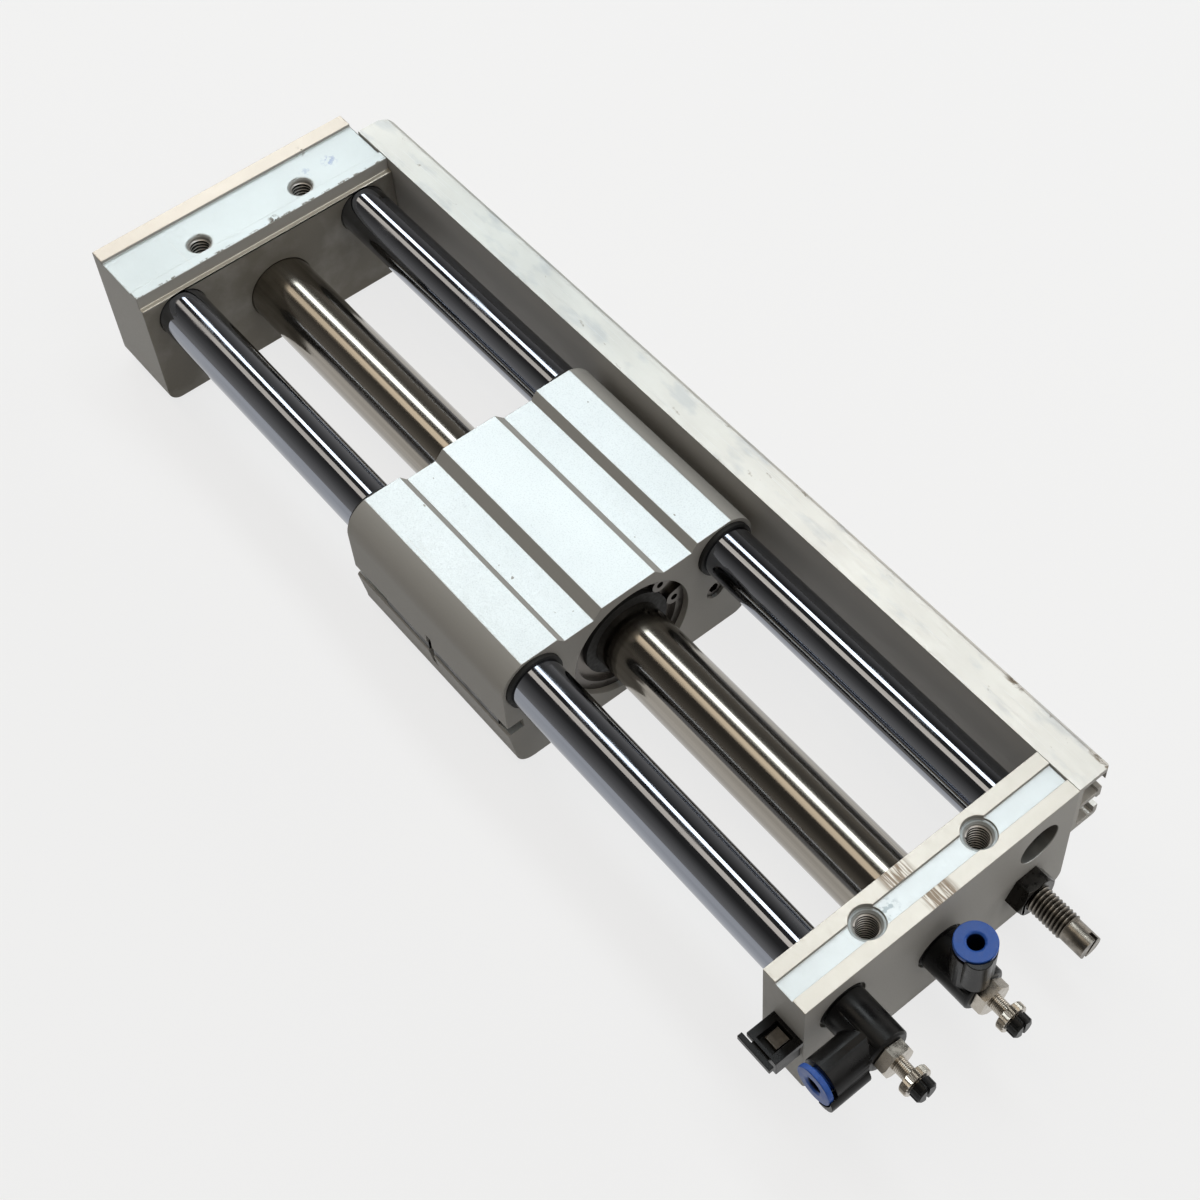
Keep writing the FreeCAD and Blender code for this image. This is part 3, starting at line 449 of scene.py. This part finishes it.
# The plates' sides' colour is painted shade.
plate_finish = anodised("plate anodising", tone=(0.664, 0.702, 0.711), worn=(0.621, 0.657, 0.665),
                        sides=(0.350, 0.343, 0.325), drawn=(900.0, 2600.0, 900.0), marks=0.74,
                        handling_and_highlight=plate_wear_and_highlight, painted_shade=plate_painted_shade)
for plate, rounding in (("near_end_plate", 0.0002), ("far_end_plate", 0.0004)):
    eased(plate, plate_finish, rounding)


# Mounting threads: each of the four holes is tapped with a coarse 8 mm thread.
# The turns show as fine dark rings inside the wells of the plates: all but their upward flanks are
# coloured near black, which is painted shade.
def thread_turns(start, end, wall, crest, pitch):
    """Helical ridge along Z from start to end: the height climbs with the angle, and across the
    ridge the radius steps from the wall to the crest and back."""
    per_turn, ridge_shares = 28, np.array([0.06, 0.22, 0.74, 0.92])
    turns = (end - start) / pitch - 1.0
    angle = np.linspace(0.0, 2 * np.pi * turns, int(turns * per_turn))[:, None]
    radius = np.array([wall, crest, crest, wall])[None, :] + 0 * angle
    z = start + pitch * angle / (2 * np.pi) + pitch * ridge_shares[None, :]
    ridge = np.stack([radius * np.cos(angle), radius * np.sin(angle), z], -1).reshape(-1, 3)
    return ridge, grid_quads(angle.shape[0], len(ridge_shares), False)


# Upward flanks keep a metal colour and every other face is near black: painted shade.
thread_finish, tree, shader = blank_finish("tapped thread", Metallic=1.0)
cutting = stretched_noise(tree, (2500.0, 2500.0, 2500.0))
feed(tree, shader,
     Base_Color=two_tones(tree, steep(tree), (0.50, 0.485, 0.46), (0.06, 0.057, 0.054)),
     Roughness=spread(tree, cutting, 0.3, 0.7, 0.35, 0.55))
hole_x, hole_y, hole_floor = 0.149, 0.0185, -0.0165
tap_wall, tap_crest, tap_pitch = 0.00338, 0.00298, 0.00125
for end, x, top in (("near", hole_x, 0.0018), ("far", -hole_x, 0.0024)):
    ridge, faces = thread_turns(hole_floor, top, tap_wall, tap_crest, tap_pitch)
    holes = np.array([[x, -hole_y, 0.0], [x, hole_y, 0.0]])
    verts = (ridge[None, :, :] + holes[:, None, :]).reshape(-1, 3)
    faces = np.concatenate([faces, faces + len(ridge)])
    crisp(put_mesh("mounting_threads_" + end, verts, faces, thread_finish, "frame"))


# Rod fixings: set screws under the plates and one cap screw in the solid rod's end.
# They are plain steel, blackened and oiled like the snap rings.
dress(dark_finish, "rod_set_screws", "rod_end_screw")


# Switch rail: a thin aluminium extrusion with two outward slots, screwed to the right side of
# both plates. Its top has been handled and knocked more than the rest, most of all at the near
# corner.
def rail_handling(tree, colour):
    """Greyer towards the far end, with soft smudges; small dark knocks all along, and chips at the
    near corner and once further along the outer edge."""
    grey, smudge = (0.83, 0.875, 0.90), (0.78, 0.81, 0.86)
    knock, chip = (0.45, 0.40, 0.34), (0.34, 0.29, 0.24)
    far = between(tree, "X", -0.1600, -0.0100, 0.0600)
    edge = between(tree, "Y", 0.0549, 0.0600)
    smudges = stretched_noise(tree, (75.0, 190.0, 190.0), 4.0)
    knocks = stretched_noise(tree, (230.0, 420.0, 420.0), 3.0)
    chips = spread(tree, stretched_noise(tree, (700.0, 700.0, 700.0), 3.0), 0.44, 0.54)
    colour = tinted(tree, colour, far, grey)
    colour = tinted(tree, colour, spread(tree, smudges, 0.54, 0.68, 0.0, 0.7), smudge)
    colour = tinted(tree, colour, spread(tree, knocks, 0.70, 0.76, 0.0, 0.8), knock)
    for point, reach in (((0.1562, 0.0565, 0.0035), 0.0070), ((0.1240, 0.0562, 0.0038), 0.0038)):
        worn = both(tree, both(tree, near_point(tree, point, reach), edge), chips)
        colour = tinted(tree, colour, worn, chip)
    return colour


# The rail's sides' colour is painted shade.
rail_finish = anodised("rail anodising", tone=(0.724, 0.700, 0.653), worn=(0.659, 0.635, 0.594),
                       sides=(0.39, 0.379, 0.357), drawn=(140.0, 1300.0, 1300.0), marks=0.66,
                       handling_and_highlight=rail_handling)
eased("switch_rail", rail_finish, rounding=0.0001)
dress(steel_finish, "rail_screws")


# Shock absorber: a blackened steel barrel with a fine thread, a lock nut against the port plate,
# a slotted end for a screwdriver outside, and a small chromed rod that faces the slide.
def absorber_barrel(y, z, end, tip):
    """Rows of circles along X, up to a plain end with the tip's radius. Between thread_x0 and
    thread_x1 the radius follows a blunted triangle wave of x / pitch minus angle / full turn, which
    winds the groove into a helix; the third value returned says how deep in it each point is."""
    pitch, depth, crest = 0.0012, 0.00042, 0.004
    thread_x0, thread_x1, runout = 0.1572, 0.1730, 0.0003
    rows, around = 211, 56
    head_x = [0.1592, 0.1592, 0.1412, 0.1412, 0.1417]
    head_r = [0.0, 0.00145, 0.00145, 0.0035, 0.004]
    tail_x, tail_r = [thread_x1 + runout, end, end], [tip, tip, 0.0]
    x = np.concatenate([head_x, np.linspace(thread_x0, thread_x1, rows), tail_x])
    r = np.concatenate([head_r, np.full(rows, crest), tail_r])
    cut = np.concatenate([np.zeros(len(head_x)), np.full(rows, depth), np.zeros(len(tail_x))])
    cx, cr, cut = x[1:-1, None], r[1:-1, None], cut[1:-1, None]
    angle = np.linspace(0, 2 * np.pi, around, endpoint=False)
    phase = np.mod(cx / pitch - angle[None, :] / (2 * np.pi), 1.0)
    wave = 1.0 - np.abs(2.0 * phase - 1.0)
    groove = np.clip(1.4 * wave - 0.2, 0.0, 1.0) * (cut > 0)
    radius = cr - cut * groove
    verts = np.stack([cx + 0 * radius, y + radius * np.cos(angle), z + radius * np.sin(angle)], -1)
    verts = np.concatenate([verts.reshape(-1, 3), [[x[0], y, z], [x[-1], y, z]]])
    return verts, ring_faces(len(cx), around, False), np.append(groove.ravel(), [0.0, 0.0])


def slotted_end(y, z, x0, x1, radius, slot, turn):
    """Two half discs left beside a screwdriver slot: outlines of an arc and its chord, carried from
    x0 to x1."""
    steps = 20
    half = np.arcsin(slot / 2 / radius)
    arc = np.linspace(half, np.pi - half, steps)
    j = np.arange(steps)
    k = (j + 1) % steps
    verts, faces = [], []
    for base, opposite in ((0, 0.0), (2 * steps, np.pi)):
        angle = arc + opposite + turn
        outline = np.stack([y + radius * np.cos(angle), z + radius * np.sin(angle)], -1)
        verts += [np.column_stack([np.full(steps, x), outline]) for x in (x0, x1)]
        wall = np.stack([base + j, base + k, base + steps + k, base + steps + j], -1)
        faces += wall[:, ::-1].tolist()
        faces += [(base + j[::-1]).tolist(), (base + steps + j).tolist()]
    return np.concatenate(verts), faces


barrel_finish, tree, shader = blank_finish("oiled thread", Metallic=1.0)
rub = spread(tree, stretched_noise(tree, (420.0, 420.0, 420.0), 3.0), 0.35, 0.65)
worn = two_tones(tree, rub, (0.17, 0.155, 0.135), (0.30, 0.275, 0.24))
# The thread's groove is coloured darker towards its root: painted shade.
sunk = add(tree, "ShaderNodeAttribute", {"attribute_name": "groove"}).outputs["Fac"]
feed(tree, shader, Base_Color=tinted(tree, worn, sunk, (0.10, 0.09, 0.08)),
     Roughness=spread(tree, rub, 0.0, 1.0, 0.40, 0.30))
stop_y, stop_z = 0.030, -0.0261
tip_r, barrel_end, slot_end = 0.00355, 0.1782, 0.1804
slot_width, slot_turn = 0.0013, math.radians(61.5)
verts, faces, groove = absorber_barrel(stop_y, stop_z, barrel_end, tip_r)
barrel = put_mesh("absorber_barrel", verts, faces, barrel_finish, "frame")
depths = barrel.data.attributes.new("groove", "FLOAT", "POINT")
depths.data.foreach_set("value", groove.astype(np.float32))
crisp(barrel, corner=50.0)
verts, faces = slotted_end(stop_y, stop_z, barrel_end, slot_end, tip_r, slot_width, slot_turn)
crisp(put_mesh("absorber_slotted_end", verts, faces, barrel_finish, "frame"))
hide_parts("absorber_body")
oxide_finish = mottled("black oxide", scale=500.0, detail=4.0, rough=(0.22, 0.40),
                       tones=((0.015, 0.014, 0.013), (0.06, 0.055, 0.05)), Metallic=1.0)
eased("absorber_nut", oxide_finish, rounding=0.00015)
dress(rod_finish, "absorber_rod")


# Flow controllers: nickel plated brass bodies in the ports, each with a threaded needle and a
# knurled lock nut. A black plastic elbow turns on each body, and a blue ring in its branch lets
# the air tube go when pressed.
nickel_finish = mottled("nickel plating", scale=600.0, detail=4.0, rough=(0.20, 0.36),
                        height=0.000006, tones=((0.56, 0.52, 0.46), (0.46, 0.425, 0.375)),
                        Metallic=1.0)
black_finish, tree, shader = blank_finish("moulded black plastic", Specular_IOR_Level=0.22)
dusty = spread(tree, stretched_noise(tree, (160.0, 160.0, 160.0), 4.0), 0.4, 0.7)
mould = stretched_noise(tree, (2200.0, 2200.0, 2200.0))
feed(tree, shader,
     Base_Color=two_tones(tree, dusty, (0.003, 0.003, 0.0035), (0.008, 0.008, 0.008)),
     Roughness=spread(tree, dusty, 0.0, 1.0, 0.26, 0.42),
     Normal=relief(tree, mould, 0.000006))
blue_finish, tree, shader = blank_finish("blue ring plastic", Specular_IOR_Level=0.25)
scuff = spread(tree, stretched_noise(tree, (700.0, 700.0, 700.0), 4.0), 0.4, 0.7)
blue = two_tones(tree, scuff, (0.024, 0.088, 0.37), (0.036, 0.110, 0.42))
# The inside of each ring's bore is coloured near black: painted shade.
shaded_bore = add(tree, "ShaderNodeAttribute", {"attribute_name": "shaded_bore"}).outputs["Fac"]
feed(tree, shader, Base_Color=tinted(tree, blue, shaded_bore, (0.04, 0.04, 0.05)),
     Roughness=spread(tree, scuff, 0.0, 1.0, 0.30, 0.46))
dress(nickel_finish, "flow_bodies")
branch_x, branch_bore = 0.1675, 0.0023
needle_x0, needle_x1 = 0.1762, 0.1810
needle_wall, needle_crest, needle_pitch = 0.0019, 0.00208, 0.0005
for side, y, z in (("left", -rod_y, rod_z), ("right", 0.0, tube_z)):
    dress(nickel_finish, "needle_" + side, "lock_nut_" + side)
    dress(black_finish, "knob_" + side)
    eased("elbow_" + side, black_finish, rounding=0.0002)
    ring = eased("release_ring_" + side, blue_finish, rounding=0.0003)
    points = np.empty(len(ring.data.vertices) * 3, dtype=np.float32)
    ring.data.vertices.foreach_get("co", points)
    points = points.reshape(-1, 3)
    # Marks the ring's points inside the branch's bore, which take the painted shade.
    across = points[:, 2] - z if side == "left" else points[:, 1] - y
    inside = np.hypot(points[:, 0] - branch_x, across) < branch_bore
    shaded = ring.data.attributes.new("shaded_bore", "FLOAT", "POINT")
    shaded.data.foreach_set("value", inside.astype(np.float32))
    ridge, faces = thread_turns(needle_x0, needle_x1, needle_wall, needle_crest, needle_pitch)
    verts = np.stack([ridge[:, 2], y + ridge[:, 0], z + ridge[:, 1]], -1)
    put_mesh("needle_thread_" + side, verts, faces[:, ::-1], nickel_finish,
             body_of(nodes["needle_" + side])[0])


# Side clip and slot cover: black mouldings, pushed on and glued.
# The clip holds a square steel tile in its window.
eased("side_clip", black_finish, rounding=0.00015)
eased("clip_insert", collar_finish, rounding=0.00015)
dress(black_finish, "slot_strip")


# Stage: a wide pale floor under the slide block.
# It shows as nearly white to the camera and in the metal, and still takes the part's shadow.
floor_z, half, lifted = -0.0441, 40.0, 0.76
mesh = bpy.data.meshes.new("floor")
floor_corners = [(-half, -half, floor_z), (half, -half, floor_z),
                 (half, half, floor_z), (-half, half, floor_z)]
mesh.from_pydata(floor_corners, [], [(0, 1, 2, 3)])
floor = bpy.data.objects.new("floor", mesh)
bpy.context.scene.collection.objects.link(floor)
floor_mat = bpy.data.materials.new("pale floor")
floor_mat.use_nodes = True
tree = floor_mat.node_tree
tree.nodes.clear()
path = add(tree, "ShaderNodeLightPath").outputs
seen = maths(tree, "MAXIMUM", path["Is Camera Ray"], path["Is Glossy Ray"])
seen = maths(tree, "MAXIMUM", seen, path["Is Transmission Ray"])
matt = add(tree, "ShaderNodeBsdfDiffuse", Color=(0.60, 0.60, 0.60, 1.0))
glow = add(tree, "ShaderNodeEmission", Color=(1.0, 1.0, 1.0, 1.0), Strength=1.0)
mixed = add(tree, "ShaderNodeMixShader", Fac=maths(tree, "MULTIPLY", seen, lifted))
plug(tree, mixed.inputs[1], matt.outputs["BSDF"])
plug(tree, mixed.inputs[2], glow.outputs["Emission"])
add(tree, "ShaderNodeOutputMaterial", Surface=mixed.outputs["Shader"])
mesh.materials.append(floor_mat)


# Light: long strips overhead, in line with the rods: a cool one, a weak warm one and one beyond the
# ports, two soft panels behind the plain plate and on the rail's side, and a room that is dim
# overhead.
world = bpy.data.worlds.new("room")
bpy.context.scene.world = world
world.use_nodes = True
tree = world.node_tree
look = add(tree, "ShaderNodeTexCoord").outputs["Generated"]
rise = add(tree, "ShaderNodeSeparateXYZ", Vector=look).outputs["Z"]
feed(tree, tree.nodes["Background"], Color=(1.0, 0.95, 0.88, 1.0),
     Strength=spread(tree, rise, 0.0, 0.75, 0.40, 0.05))
for name, spot, turn, length, width, level, colour in (
        ("cool strip", (-0.75, 0.400, 1.0), (0, 0, 0), 2.0, 0.25, 5.35, (0.91, 0.975, 1.0)),
        ("warm strip", (-0.45, -0.170, 1.0), (0, 0, 0), 2.6, 0.30, 1.45, (1.0, 0.88, 0.72)),
        ("port strip", (1.45, 0.250, 1.0), (0, 0, 0), 2.2, 0.45, 1.9, (1.0, 0.985, 0.96)),
        ("end panel", (-1.30, 0.0, 0.34), (0, -76, 0), 0.7, 1.5, 1.6, (1.0, 0.98, 0.95)),
        ("side panel", (0.50, 1.30, 0.40), (-74, 0, 0), 1.2, 0.7, 2.3, (1.0, 0.98, 0.95))):
    lamp = bpy.data.lights.new(name, "AREA")
    lamp.shape = "RECTANGLE"
    lamp.size = length
    lamp.size_y = width
    lamp.energy = level * math.pi * length * width
    lamp.color = colour
    panel = bpy.data.objects.new(name, lamp)
    panel.location = spot
    panel.rotation_euler = [math.radians(v) for v in turn]
    bpy.context.scene.collection.objects.link(panel)


# Camera: a normal lens above the near plate, looking down along the stroke.
# Its axes were fitted to the straight edges of the part; the picture's sizes are in pixels.
image, focal = 1200.0, 2160.06
centre = (676.26, 544.65)
eye = (0.3069, -0.1914, 0.4725)
right = (0.638324, 0.769244, -0.028403)
down = (0.609499, -0.527614, -0.591721)
ahead = (-0.470164, 0.360398, -0.805642)
cam = bpy.data.cameras.new("camera")
cam.sensor_width = 36.0
cam.lens = focal / image * cam.sensor_width
cam.shift_x = (image / 2 - centre[0]) / image
cam.shift_y = (centre[1] - image / 2) / image
cam.clip_start = 0.01
camera = bpy.data.objects.new("camera", cam)
bpy.context.scene.collection.objects.link(camera)
axes = np.column_stack([right, [-v for v in down], [-v for v in ahead]])
camera.matrix_world = Matrix.LocRotScale(eye, Matrix(axes.tolist()), None)
bpy.context.scene.camera = camera
bpy.context.scene.view_settings.view_transform = "Standard"
